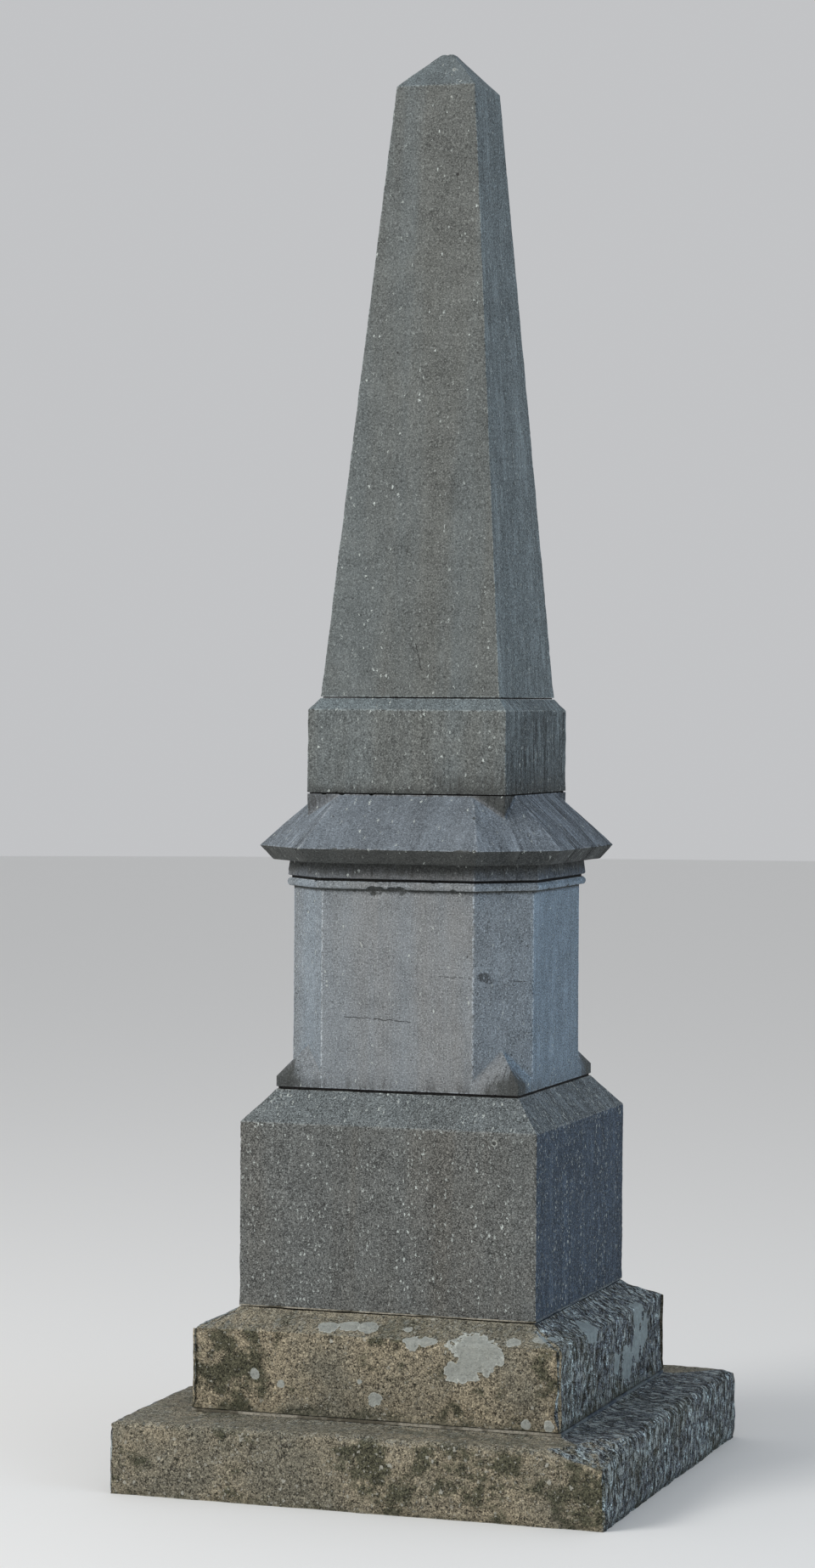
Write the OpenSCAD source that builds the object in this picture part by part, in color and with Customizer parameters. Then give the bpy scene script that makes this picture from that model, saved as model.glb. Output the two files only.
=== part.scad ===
// Weathered sandstone obelisk on two steps. From the ground up: a low step of three slabs, a
// single upper step with a sloped top, a square plinth, an eight-sided die that returns to square
// on four broach stops, a cornice mitred on eight sides from whose sloped top a square upstand
// rises, a square neck block and a tapered shaft with a low pointed cap. Millimetres, Z up, the
// front face looks along -Y, and the origin is at the centre of the foot.

/* [Lower step] */
// Width of the lower step from side to side
lower_w = 1016; // [940:2:1100]
// Depth of the lower step from front to back
lower_d = 1008; // [940:2:1100]
// Height of the lower step
lower_h = 150; // [120:1:200]
// Depth of the front slab, and of the back slab
edge_slab_d = 220; // [150:1:290]
// Radius of the worn top edges
lower_edge_r = 22; // [8:1:32]
// Radius of the upright corners
lower_corner_r = 10; // [4:1:16]
// Width of the mortar joints between the slabs
slab_joint_w = 4; // [3:0.5:8]
// How far back the slab mortar lies from the faces
slab_joint_recess = 5; // [2:0.5:10]
// Length of the broken corner along the front edge
break_along_front = 130; // [60:1:180]
// Length of the broken corner along the right edge
break_along_side = 205; // [60:1:215]
// Depth of the broken corner down the upright arris
break_down = 38; // [15:1:60]

/* [Upper step] */
// Width and depth of the upper step
upper_w = 762; // [700:2:840]
// Height of the upper step at its middle
upper_h = 197.5; // [150:0.5:240]
// Fall of the sloped top from the plinth to the edge
upper_fall = 34.5; // [10:0.5:50]
// Radius of the worn top edges
upper_edge_r = 9; // [3:1:16]

/* [Plinth] */
// Width and depth of the plinth
plinth_w = 616; // [570:2:660]
// Height of the upright faces
plinth_face_h = 363; // [300:1:430]
// Height of the sloped top
plinth_slope_h = 62; // [40:1:80]

/* [Die] */
// Width and depth of the die over its flat faces
die_w = 506; // [460:2:540]
// Height of the die with its top bead
die_h = 412; // [340:1:480]
// Leg of the corner chamfers that make the die eight-sided
die_chamfer = 95; // [60:1:130]
// Height of the square foot under the broach stops
die_foot_h = 20; // [10:1:40]
// Height of the broach stops above the square foot
stop_h = 60; // [40:1:100]
// Height of the rounded bead at the top
bead_h = 16; // [10:1:22]
// How far the bead stands out from the faces
bead_out = 12.5; // [8:0.5:18]
// How far the rounded face of the bead stands out from its two edges
bead_round = 4; // [2:0.5:6]

/* [Cornice] */
// Height of the band under the cornice
band_h = 31; // [20:1:40]
// How far the band stands out from the die
band_out = 11.5; // [8:0.5:18]
// How far the face of the band leans back at its top
band_lean = 3; // [0:0.5:5]
// Radius of the lower edge of the band
band_edge_r = 4; // [2:0.5:6]
// How far the lower edge of the cornice stands out from the die
bed_edge_out = 39; // [25:1:48]
// Height of the undercut face
undercut_h = 29; // [18:1:36]
// How far the drip arris stands out from the die
drip_out = 64; // [52:0.5:74]
// Height of the eight-sided sloped top of the cornice
cornice_slope_h = 103; // [75:1:125]
// How far the sloped top bulges from a straight line
cornice_bulge = 1; // [0.5:0.5:6]
// Height of the square upstand above the slope, at the middle of each face
upstand_h = 2.5; // [1:0.5:20]

/* [Neck block] */
// Width and depth of the neck block
neck_w = 415; // [395:1:440]
// Height of the upright faces
neck_face_h = 165.5; // [120:0.5:200]
// Height of the bevel around the top
neck_bevel_h = 23; // [12:1:32]

/* [Shaft] */
// Width and depth of the shaft at its foot
shaft_foot_w = 375; // [340:1:390]
// Width and depth of the shaft under its cap
shaft_top_w = 166; // [140:1:220]
// Height of the tapered faces
shaft_h = 1225; // [1000:5:1400]
// Height of the pointed cap
cap_h = 72; // [40:1:110]
// Width of the worn blunt point
point_w = 24; // [10:1:40]
// How far the top of the old shaft leans to the right
shaft_lean = 12; // [0:0.5:16]

/* [Mortar beds] */
// Thickness of the mortar beds under the upper step, the die and the cornice
bed_t = 5; // [3:0.5:8]
// Thickness of the finer beds under the plinth, the neck block and the shaft
fine_bed_t = 2.5; // [2:0.5:5]
// How far back the mortar lies from the faces of the stones
bed_recess = 4; // [2:0.5:8]

/* [Hidden] */

// Flats that stand for each worn edge, bead or bulge
edge_steps = 5;
// Reach of a cut past the faces that it passes through
past = 50;

// Levels, from the ground up
upper_z = lower_h + bed_t;
plinth_z = upper_z + upper_h + fine_bed_t;
plinth_h = plinth_face_h + plinth_slope_h;
die_z = plinth_z + plinth_h + bed_t;
cornice_z = die_z + die_h + bed_t;
undercut_z = cornice_z + band_h;
drip_z = undercut_z + undercut_h;
upstand_z = drip_z + cornice_slope_h;
neck_z = upstand_z + upstand_h + fine_bed_t;
neck_h = neck_face_h + neck_bevel_h;
shaft_z = neck_z + neck_h + fine_bed_t;

// Half widths
die_half = die_w / 2;
drip_half = die_half + drip_out;
neck_half = neck_w / 2;
shaft_foot_half = shaft_foot_w / 2;
slab_joint_y = lower_d / 2 - edge_slab_d;

// Colours of the weathered stone and the mortar
shaft_colour = [0.55, 0.54, 0.50];
die_colour = [0.66, 0.65, 0.61];
plinth_colour = [0.58, 0.55, 0.48];
step_colour = [0.52, 0.49, 0.41];
mortar_colour = [0.22, 0.21, 0.19];

// Points of an arc, from angle a to angle b
function arc(x, z, r, a, b) =
    [for (i = [0:edge_steps]) let (t = a + (b - a) * i / edge_steps) [x + r * cos(t), z + r * sin(t)]];

// Chamfer leg of a moulding that runs parallel to the die on all eight sides
function mitred_leg(half) = die_chamfer + (2 - sqrt(2)) * (half - die_half);

// Distance from the axis to the chamfer face of an eight-sided section
function chamfer_reach(half, leg) = (2 * half - leg) / sqrt(2);

// Profile of the chamfer faces for a moulding profile that is mitred throughout
function mitred_reach(profile) = [for (p = profile) [chamfer_reach(p[0], mitred_leg(p[0])), p[1]]];

// An upright form whose two sides follow [half width, height] points, seen along Y, and which
// leans to the right by the given run for each unit of height
module profile_wall(profile, length, lean = 0) {
    right = [for (p = profile) [lean * p[1] + p[0], p[1]]];
    left = [for (i = [len(profile) - 1:-1:0]) let (p = profile[i]) [lean * p[1] - p[0], p[1]]];
    rotate([90, 0, 0]) linear_extrude(length, center = true) polygon(concat(right, left));
}

// A block whose four faces follow one profile, or two where width and depth differ
module square_block(profile, side_profile = undef, lean = 0) {
    other = is_undef(side_profile) ? profile : side_profile;
    length = 2 * (max([for (p = concat(profile, other)) p[0]]) + past);
    intersection() {
        profile_wall(profile, length, lean);
        rotate([0, 0, 90]) profile_wall(other, length);
    }
}

// A block of four faces with its corners cut back to a second profile
module eight_sided_block(profile, reach) {
    length = 2 * (max([for (p = reach) p[0]]) + past);
    intersection() {
        square_block(profile);
        rotate([0, 0, 45]) profile_wall(reach, length);
        rotate([0, 0, -45]) profile_wall(reach, length);
    }
}

// Plan of the lower step with its rounded upright corners
module rounded_plan(w, d, r) {
    square([w - 2 * r, d], center = true);
    square([w, d - 2 * r], center = true);
    for (x = [-1, 1], y = [-1, 1]) translate([x * (w / 2 - r), y * (d / 2 - r)]) circle(r);
}

// Profile of an upright face that ends in a worn round edge under a flat top
function worn_profile(half, height, r) =
    concat([[half, 0]], arc(half - r, height - r, r, 0, 90));

// The whole lower step, or the same form drawn in by a margin
module lower_form(inset = 0) {
    intersection() {
        square_block(
            worn_profile(lower_w / 2 - inset, lower_h - inset, lower_edge_r),
            worn_profile(lower_d / 2 - inset, lower_h - inset, lower_edge_r)
        );
        linear_extrude(lower_h)
            rounded_plan(lower_w - 2 * inset, lower_d - 2 * inset, lower_corner_r);
    }
}

// Keeps what lies between two planes across the depth
module depth_range(from, to) {
    intersection() {
        children();
        translate([-lower_w, from, -past]) cube([2 * lower_w, to - from, lower_h + 2 * past]);
    }
}

// The half space beyond the break at the front right corner of the lower step
module broken_corner() {
    corner = [lower_w / 2, -lower_d / 2, lower_h];
    outward = [1 / break_along_front, -1 / break_along_side, 1 / break_down];
    reach = break_along_front + break_along_side;
    translate(corner - [break_along_front, 0, 0])
        rotate([0, acos(outward[2] / norm(outward)), atan2(outward[1], outward[0])])
            translate([-reach, -reach, 0]) cube([2 * reach, 2 * reach, past]);
}

module lower_step_front() {
    color(step_colour) difference() {
        depth_range(-lower_d, -slab_joint_y - slab_joint_w / 2) lower_form();
        broken_corner();
    }
}

module lower_step_middle() {
    half = slab_joint_y - slab_joint_w / 2;
    color(step_colour) depth_range(-half, half) lower_form();
}

module lower_step_back() {
    color(step_colour) depth_range(slab_joint_y + slab_joint_w / 2, lower_d) lower_form();
}

module slab_joint(y) {
    color(mortar_colour)
        depth_range(y - slab_joint_w / 2, y + slab_joint_w / 2) lower_form(slab_joint_recess);
}

// A level bed of mortar under a square stone whose foot is at height z, drawn in from the
// narrower face of the joint
module mortar_bed(half, z, thickness) {
    side = 2 * (half - bed_recess);
    color(mortar_colour)
        translate([-side / 2, -side / 2, z - thickness]) cube([side, side, thickness]);
}

// The eight-sided bed between the top of the bead and the cornice's band
module cornice_bed() {
    half = die_half + min(bead_out - bead_round, band_out - band_edge_r);
    side = 2 * (half - bed_recess);
    reach = 2 * (chamfer_reach(half, mitred_leg(half)) - bed_recess);
    color(mortar_colour) translate([0, 0, cornice_z - bed_t]) linear_extrude(bed_t)
        intersection() {
            square(side, center = true);
            rotate(45) square(reach, center = true);
        }
}

module upper_step() {
    edge_half = upper_w / 2;
    run = edge_half - plinth_w / 2;
    slope = atan(upper_fall / run);
    // The worn edge is an arc that touches both the upright face and the sloped top
    centre_x = edge_half - upper_edge_r;
    centre_z = upper_h - (run - upper_edge_r) * tan(slope) - upper_edge_r / cos(slope);
    color(step_colour) translate([0, 0, upper_z]) square_block(concat(
        [[edge_half, 0]],
        arc(centre_x, centre_z, upper_edge_r, 0, 90 - slope),
        [[plinth_w / 2, upper_h]]
    ));
}

module plinth() {
    color(plinth_colour) translate([0, 0, plinth_z]) square_block([
        [plinth_w / 2, 0], [plinth_w / 2, plinth_face_h], [die_half, plinth_h]
    ]);
}

// The die: eight sides with a rounded bead on top, and a low pyramid over a square foot whose
// corners stand out of the chamfers as the four broach stops
module die() {
    // The arc whose chord is the bead's height and whose rise is its rounding
    bead_r = (pow(bead_h / 2, 2) + pow(bead_round, 2)) / (2 * bead_round);
    bead_turn = asin(bead_h / 2 / bead_r);
    bead_z = die_h - bead_h;
    faces = concat(
        [[die_half, 0], [die_half, bead_z]],
        arc(die_half + bead_out - bead_r, bead_z + bead_h / 2, bead_r, -bead_turn, bead_turn)
    );
    color(die_colour) translate([0, 0, die_z]) {
        eight_sided_block(faces, mitred_reach(faces));
        square_block([
            [die_half, 0], [die_half, die_foot_h],
            [die_half - die_chamfer / 2, die_foot_h + stop_h]
        ]);
    }
}

// The cornice: a band, an undercut face and a bulging sloped top, all mitred on eight sides, and a
// square upstand whose corners reach down past the slope's chamfer faces
module cornice() {
    band_half = die_half + band_out;
    bed_edge_half = die_half + bed_edge_out;
    drip_height = band_h + undercut_h;
    run = drip_half - neck_half;
    // Height fraction from 0 at the drip to 1 at the upstand
    slope = [for (i = [1:edge_steps]) let (t = i / edge_steps) [
        drip_half - run * t + cornice_bulge * sin(180 * t),
        drip_height + cornice_slope_h * t + cornice_bulge * sin(180 * t)
    ]];
    faces = concat(
        arc(band_half - band_edge_r, band_edge_r, band_edge_r, -90, 0),
        [[band_half - band_lean, band_h], [bed_edge_half, band_h], [drip_half, drip_height]],
        slope
    );
    color(die_colour) translate([0, 0, cornice_z]) {
        eight_sided_block(faces, mitred_reach(faces));
        square_block([
            [neck_half, drip_height], [neck_half, drip_height + cornice_slope_h + upstand_h]
        ]);
    }
}

module neck_block() {
    color(shaft_colour) translate([0, 0, neck_z]) square_block([
        [neck_half, 0], [neck_half, neck_face_h], [shaft_foot_half, neck_h]
    ]);
}

module shaft() {
    faces = [
        [shaft_foot_half, 0], [shaft_top_w / 2, shaft_h], [point_w / 2, shaft_h + cap_h]
    ];
    color(shaft_colour) translate([0, 0, shaft_z]) square_block(faces, lean = shaft_lean / shaft_h);
}

lower_step_front();
lower_step_middle();
lower_step_back();
slab_joint(-slab_joint_y);  // lower_step_front_joint
slab_joint(slab_joint_y);  // lower_step_back_joint
mortar_bed(upper_w / 2, upper_z, bed_t);  // upper_step_bed
upper_step();
mortar_bed(plinth_w / 2, plinth_z, fine_bed_t);  // plinth_bed
plinth();
mortar_bed(die_half, die_z, bed_t);  // die_bed
die();
cornice_bed();
cornice();
mortar_bed(neck_half, neck_z, fine_bed_t);  // neck_bed
neck_block();
mortar_bed(shaft_foot_half, shaft_z, fine_bed_t);  // shaft_bed
shaft();
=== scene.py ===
"""Dresses the packed stone obelisk: worn stones, raked mortar, weathered finishes and a plain studio.

Every stone is built again as a fine mesh from the level sections of its own solid, then worn, chipped
and pitted inwards, so it stays in its place and inside its box."""
import math
from functools import cached_property, reduce

import bmesh
import bpy
import numpy as np
from bpy.props import FloatProperty, FloatVectorProperty, IntProperty, PointerProperty
from bpy.types import Operator, Panel, PropertyGroup
from mathutils import Matrix, Vector, kdtree, noise


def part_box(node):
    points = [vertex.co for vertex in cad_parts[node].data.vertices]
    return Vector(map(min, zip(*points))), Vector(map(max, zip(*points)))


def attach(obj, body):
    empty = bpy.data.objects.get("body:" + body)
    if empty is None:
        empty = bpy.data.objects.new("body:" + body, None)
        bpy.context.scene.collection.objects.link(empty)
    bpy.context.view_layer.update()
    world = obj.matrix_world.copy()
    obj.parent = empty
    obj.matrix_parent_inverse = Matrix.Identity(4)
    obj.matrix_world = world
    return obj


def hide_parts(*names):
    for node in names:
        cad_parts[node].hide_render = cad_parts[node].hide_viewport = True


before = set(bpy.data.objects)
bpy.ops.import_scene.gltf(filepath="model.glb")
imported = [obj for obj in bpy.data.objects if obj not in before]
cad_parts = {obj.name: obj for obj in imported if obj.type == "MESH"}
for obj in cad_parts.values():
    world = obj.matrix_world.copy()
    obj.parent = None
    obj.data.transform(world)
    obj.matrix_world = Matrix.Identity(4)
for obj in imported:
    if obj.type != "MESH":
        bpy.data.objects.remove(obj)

bl_info = {
    "name": "Stone obelisk finish",
    "version": (1, 0, 0),
    "blender": (4, 5, 0),
    "location": "View3D > Sidebar > Obelisk",
    "description": "Worn stones, raked mortar, weathered finishes and a plain studio for an obelisk",
    "category": "Object",
}

MM = 0.001
BODY = "root"
# The eight directions that a level section is measured in, from the right side round by the back
COMPASS = np.array([(math.cos(k * math.pi / 4), math.sin(k * math.pi / 4)) for k in range(8)])
# A section is a row of numbers: its height, then its reach in the eight directions
HEIGHT, RIGHT, BACK, FRONT = 0, 1, 3, 7
DIAGONALS = [2, 4, 6, 8]
# Points closer than this are one point
SAME = 0.05 * MM
# A face whose normal rises past this lies level
LEVEL = 0.97
# Where Blender's Mix node takes its share and its two colours, and gives the mixed one
MIX_SHARE, MIX_BELOW, MIX_ABOVE, MIX_RESULT = 0, 6, 7, 2


class StoneWear(PropertyGroup):
    """How worn the stones are, and how finely they are meshed."""

    spacing: FloatProperty(
        name="Mesh spacing", description="Distance between mesh lines on an open face",
        default=4.6 * MM, min=2 * MM, unit="LENGTH")
    arris_reach: FloatProperty(
        name="Arris wear", description="How far wear reaches from an arris of the upper stones",
        default=5 * MM, unit="LENGTH")
    arris_depth: FloatProperty(
        name="Arris depth", description="How much an arris of the upper stones has lost",
        default=1.6 * MM, unit="LENGTH")
    step_reach: FloatProperty(
        name="Step wear", description="How far wear reaches from an edge of the steps",
        default=16 * MM, unit="LENGTH")
    step_depth: FloatProperty(
        name="Step depth", description="How much an edge of the steps has lost",
        default=5 * MM, unit="LENGTH")
    seed: IntProperty(name="Seed", description="Which chips and pits are drawn", default=7)


class StoneColours(PropertyGroup):
    """The colours of the weathered stone, lichen and mortar, and the painted shade of the side faces.
    """

    shaft: FloatVectorProperty(
        name="Shaft", description="Grey stone of the shaft and the neck block",
        default=(0.134, 0.142, 0.135), subtype="COLOR")
    die: FloatVectorProperty(
        name="Die", description="Washed pale stone of the die",
        default=(0.222, 0.232, 0.236), subtype="COLOR")
    cornice: FloatVectorProperty(
        name="Cornice", description="Grey stone of the cornice",
        default=(0.142, 0.146, 0.149), subtype="COLOR")
    plinth: FloatVectorProperty(
        name="Plinth", description="Olive grey stone of the plinth",
        default=(0.124, 0.124, 0.114), subtype="COLOR")
    steps: FloatVectorProperty(
        name="Steps", description="Buff stone of the two steps",
        default=(0.242, 0.219, 0.163), subtype="COLOR")
    algae: FloatVectorProperty(
        name="Algae", description="Dark olive growth on the steps",
        default=(0.042, 0.046, 0.027), subtype="COLOR")
    lichen: FloatVectorProperty(
        name="Lichen", description="Pale crusts of lichen",
        default=(0.47, 0.49, 0.45), subtype="COLOR")
    # Also laid in streaks over the painted shade under the cornice's drip
    soot: FloatVectorProperty(
        name="Soot", description="Dark soiling under ledges and in streaks",
        default=(0.042, 0.040, 0.037), subtype="COLOR")
    # Laid as real stain on the stops and the cornice's corner, and as painted shade under the cornice's
    # drip, under the die's bead and in chips
    stain: FloatVectorProperty(
        name="Stain", description="Dark olive stain in sheltered corners",
        default=(0.052, 0.055, 0.052), subtype="COLOR")
    # Painted bluish shade of the side faces: under the steps' film, and on the sides of the plinth, the
    # cornice and the steps' joints
    side_shade: FloatVectorProperty(
        name="Slate film", description="Dark blue grey film on the sides of the steps",
        default=(0.06, 0.077, 0.099), subtype="COLOR")
    mortar: FloatVectorProperty(
        name="Mortar", description="Weathered mortar in the joints",
        default=(0.02, 0.019, 0.018), subtype="COLOR")
    lime: FloatVectorProperty(
        name="Lime", description="Pale lime left in the joints of the steps",
        default=(0.42, 0.39, 0.32), subtype="COLOR")


class Studio(PropertyGroup):
    """The plain pale studio."""

    floor: FloatVectorProperty(
        name="Floor", description="Pale floor", default=(0.86, 0.86, 0.85), subtype="COLOR")
    sky: FloatVectorProperty(
        name="Backdrop", description="Pale light all round", default=(0.82, 0.83, 0.85),
        subtype="COLOR")
    key_power: FloatProperty(
        name="Key light", description="Power of the large soft light at the front left",
        default=330, unit="POWER")
    fill_power: FloatProperty(
        name="Fill light", description="Power of the large soft light at the right",
        default=48, unit="POWER")
    sky_strength: FloatProperty(
        name="Backdrop strength", description="Strength of the light all round", default=0.66)
    eye: FloatVectorProperty(
        name="Eye", description="Where the camera stands", default=(2.4566, -7.3487, 1.5547),
        subtype="TRANSLATION")
    turn: FloatProperty(
        name="Turn", description="How far the camera turns to the left of straight ahead",
        default=math.radians(18.952), subtype="ANGLE")
    tilt: FloatProperty(
        name="Tilt", description="How far the camera looks down",
        default=math.radians(1.256), subtype="ANGLE")
    roll: FloatProperty(
        name="Roll", description="How far the camera is rolled",
        default=math.radians(0.360), subtype="ANGLE")
    lens: FloatProperty(
        name="Lens", description="Focal length for a 36 mm long side", default=87.69)


def settings():
    """The three groups of settings on the scene."""
    scene = bpy.context.scene
    return scene.obelisk_wear, scene.obelisk_colours, scene.obelisk_studio


class Wire:
    """A value on its way through a shader, so that shader maths reads as plain arithmetic."""

    def __init__(self, finish, socket):
        self.finish = finish
        self.socket = socket

    def maths(self, operation, *values):
        """Adds one Math node."""
        return self.finish.node("Math", {"operation": operation}, dict(enumerate(values)))

    def __add__(self, other):
        return self.maths("ADD", self, other)

    def __sub__(self, other):
        return self.maths("SUBTRACT", self, other)

    def __rsub__(self, other):
        return self.maths("SUBTRACT", other, self)

    def __mul__(self, other):
        return self.maths("MULTIPLY", self, other)

    def __truediv__(self, other):
        return self.maths("DIVIDE", self, other)

    def __abs__(self):
        return self.maths("ABSOLUTE", self)

    __radd__ = __add__
    __rmul__ = __mul__

    def most(self, other):
        return self.maths("MAXIMUM", self, other)

    def sine(self):
        return self.maths("SINE", self)

    def rise(self, low, high):
        """Runs smoothly from 0 at low to 1 at high, or down again where high is the lower."""
        return self.finish.node(
            "MapRange", {"interpolation_type": "SMOOTHSTEP"},
            {"Value": self, "From Min": low, "From Max": high})


class Finish:
    """A stone finish: a material's node tree, and its colour, which is laid on coat by coat."""

    def __init__(self, name):
        self.colour = None
        self.material = bpy.data.materials.new(name)
        self.material.use_nodes = True
        self.tree = self.material.node_tree
        self.tree.nodes.clear()
        self.place = self.node("TexCoord", output="Object")
        facing = self.node("NewGeometry", output="Normal")
        self.facing_x, self.facing_y, self.facing_z = self.parts(facing)
        self.x, self.y, self.z = self.parts(self.place)

    def node(self, kind, setup=None, sockets=None, output=0):
        """Adds a node, sets it up, then feeds its sockets with numbers, colours or wires."""
        made = self.tree.nodes.new("ShaderNode" + kind)
        for name, value in (setup or {}).items():
            setattr(made, name, value)
        for name, value in (sockets or {}).items():
            socket = made.inputs[name]
            if isinstance(value, Wire):
                self.tree.links.new(value.socket, socket)
            else:
                socket.default_value = value
        return Wire(self, made.outputs[output]) if made.outputs else None

    def parts(self, vector):
        """The three parts of a vector or colour."""
        split = self.node("SeparateXYZ", sockets={0: vector})
        return [Wire(self, socket) for socket in split.socket.node.outputs]

    def scaled(self, vector, factors):
        return self.node("VectorMath", {"operation": "MULTIPLY"}, {0: vector, 1: factors})

    def shifted(self, vector, other):
        return self.node("VectorMath", {"operation": "ADD"}, {0: vector, 1: other})

    def stored(self, name):
        """A value kept on the mesh."""
        return self.node("Attribute", {"attribute_name": name}, output="Fac")

    def clouds(self, scale, detail=4.0, roughness=0.55, at=None):
        """Soft noise from 0 to 1 with the given number of lumps a metre."""
        return self.node(
            "TexNoise", {"noise_dimensions": "3D"},
            {"Vector": at or self.place, "Scale": scale, "Detail": detail, "Roughness": roughness})

    @cached_property
    def ragged(self):
        """The place in the stone, shaken a little, so that what is drawn there has torn edges."""
        shake = self.node("TexNoise", {"noise_dimensions": "3D"},
                          {"Vector": self.place, "Scale": 260.0, "Detail": 1.0}, output="Color")
        centred = self.shifted(shake, (-0.5, -0.5, -0.5))
        return self.shifted(self.place, self.scaled(centred, (9 * MM, 9 * MM, 9 * MM)))

    @cached_property
    def down(self):
        """How far down a square stone's slopes and faces a place lies."""
        return self.z - abs(self.x).most(abs(self.y))

    def laid_flat(self, across, down, layer):
        """A place on the faces laid out flat. What is drawn on one layer isn't seen on another."""
        return self.node("CombineXYZ", sockets={0: across, 1: down, 2: layer})

    def streaks(self, across, fall, detail=3.0, layer=0.0, down=None):
        """Noise drawn out down the face: so many streaks a metre across, so many lumps down."""
        sway = (self.clouds(7.0, 2.0) - 0.5) * (across * 12 * MM)
        at = self.laid_flat(self.stored("across") * across + sway, (down or self.z) * fall, layer)
        return self.clouds(1.0, detail, 0.6, at)

    def cells(self, scale, at, dimensions="3D"):
        """Ragged cells: the distance to each cell's middle, and two chance values of the cell."""
        near = self.node(
            "TexVoronoi", {"feature": "F1", "voronoi_dimensions": dimensions},
            {"Vector": at, "Scale": scale, "Randomness": 1.0}, output="Distance")
        pick, spread, _ = self.parts(Wire(self, near.socket.node.outputs["Color"]))
        return near, pick, spread

    def dots(self, scale, share, size, squash=1.0, at=None):
        """Small separate flecks: so many cells a metre, the share of them filled, and their size."""
        if at:
            near, pick, spread = self.cells(scale, at, "2D")
        else:
            near, pick, spread = self.cells(scale, self.scaled(self.ragged, (1.0, 1.0, squash)))
        chosen = pick.rise(1 - share, 1 - share + 0.02) * (0.45 + spread * 0.55)
        return (spread * size + size * 0.4 - near).rise(0.0, size * 0.35) * chosen

    def scattered(self, *kinds, at=None):
        """Flecks of several kinds together, each kind given as dots() takes it."""
        return reduce(Wire.most, [self.dots(*kind, at=at) for kind in kinds])

    def spot(self, x, z, radius):
        """A round mark on the front, from 1 at its middle to 0 past its edge."""
        away = (self.x - x) * (self.x - x) + (self.z - z) * (self.z - z)
        return away.rise(radius * radius * 1.5, radius * radius * 0.6) * self.front

    @cached_property
    def front(self):
        """1 on the front and 0 on the other faces."""
        return self.facing_y.rise(-0.4, -0.6)

    def crack(self, start, end, drift, width=1.1 * MM):
        """A hairline that wanders across the front between two places, each given as x and z."""
        run, climb = end[0] - start[0], end[1] - start[1]
        length = math.hypot(run, climb)
        off_x, off_z = self.x - start[0], self.z - start[1]
        along = (off_x * run + off_z * climb) / length
        aside = (off_z * run - off_x * climb) / length
        wander = (self.clouds(55.0, 3.0) - 0.5) * drift
        line = abs(aside + wander).rise(width, width * 0.3)
        ends = along.rise(0.0, 5 * MM) * along.rise(length, length - 5 * MM)
        gaps = self.clouds(160.0, 2.0).rise(0.36, 0.48)
        return line * ends * gaps * self.front

    def shaded(self, colour, factor):
        """A colour made lighter or darker by a wire."""
        colour = colour if isinstance(colour, Wire) else tuple(colour)[:3]
        return self.node(
            "VectorMath", {"operation": "SCALE"}, {0: colour, "Scale": factor})

    def mix(self, share, below, above):
        """One colour over another."""
        return self.node(
            "Mix", {"data_type": "RGBA"},
            {MIX_SHARE: share, MIX_BELOW: self.ink(below), MIX_ABOVE: self.ink(above)},
            output=MIX_RESULT)

    @staticmethod
    def ink(colour):
        """A colour as a socket takes it."""
        return colour if isinstance(colour, Wire) else (*tuple(colour)[:3], 1.0)

    def lay(self, share, above):
        """Lays a colour over the finish where the share is above 0."""
        self.colour = self.mix(share, self.colour, above)

    def close(self, roughness, height, depth):
        """Ends the finish with its roughness and a relief of the given depth in metres."""
        normal = self.node(
            "Bump", sockets={"Strength": 1.0, "Distance": depth, "Height": height})
        shader = self.node(
            "BsdfPrincipled",
            sockets={"Base Color": self.colour, "Roughness": roughness, "Normal": normal,
                     "Specular IOR Level": 0.25})
        self.node("OutputMaterial", sockets={"Surface": shader})
        return self.material


def tinted(colour, factor, warmth=0.0):
    """A colour made lighter or darker, and warmer or cooler."""
    red, green, blue = tuple(colour)[:3]
    return (red * factor * (1 + warmth), green * factor, blue * factor * (1 - warmth))


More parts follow.
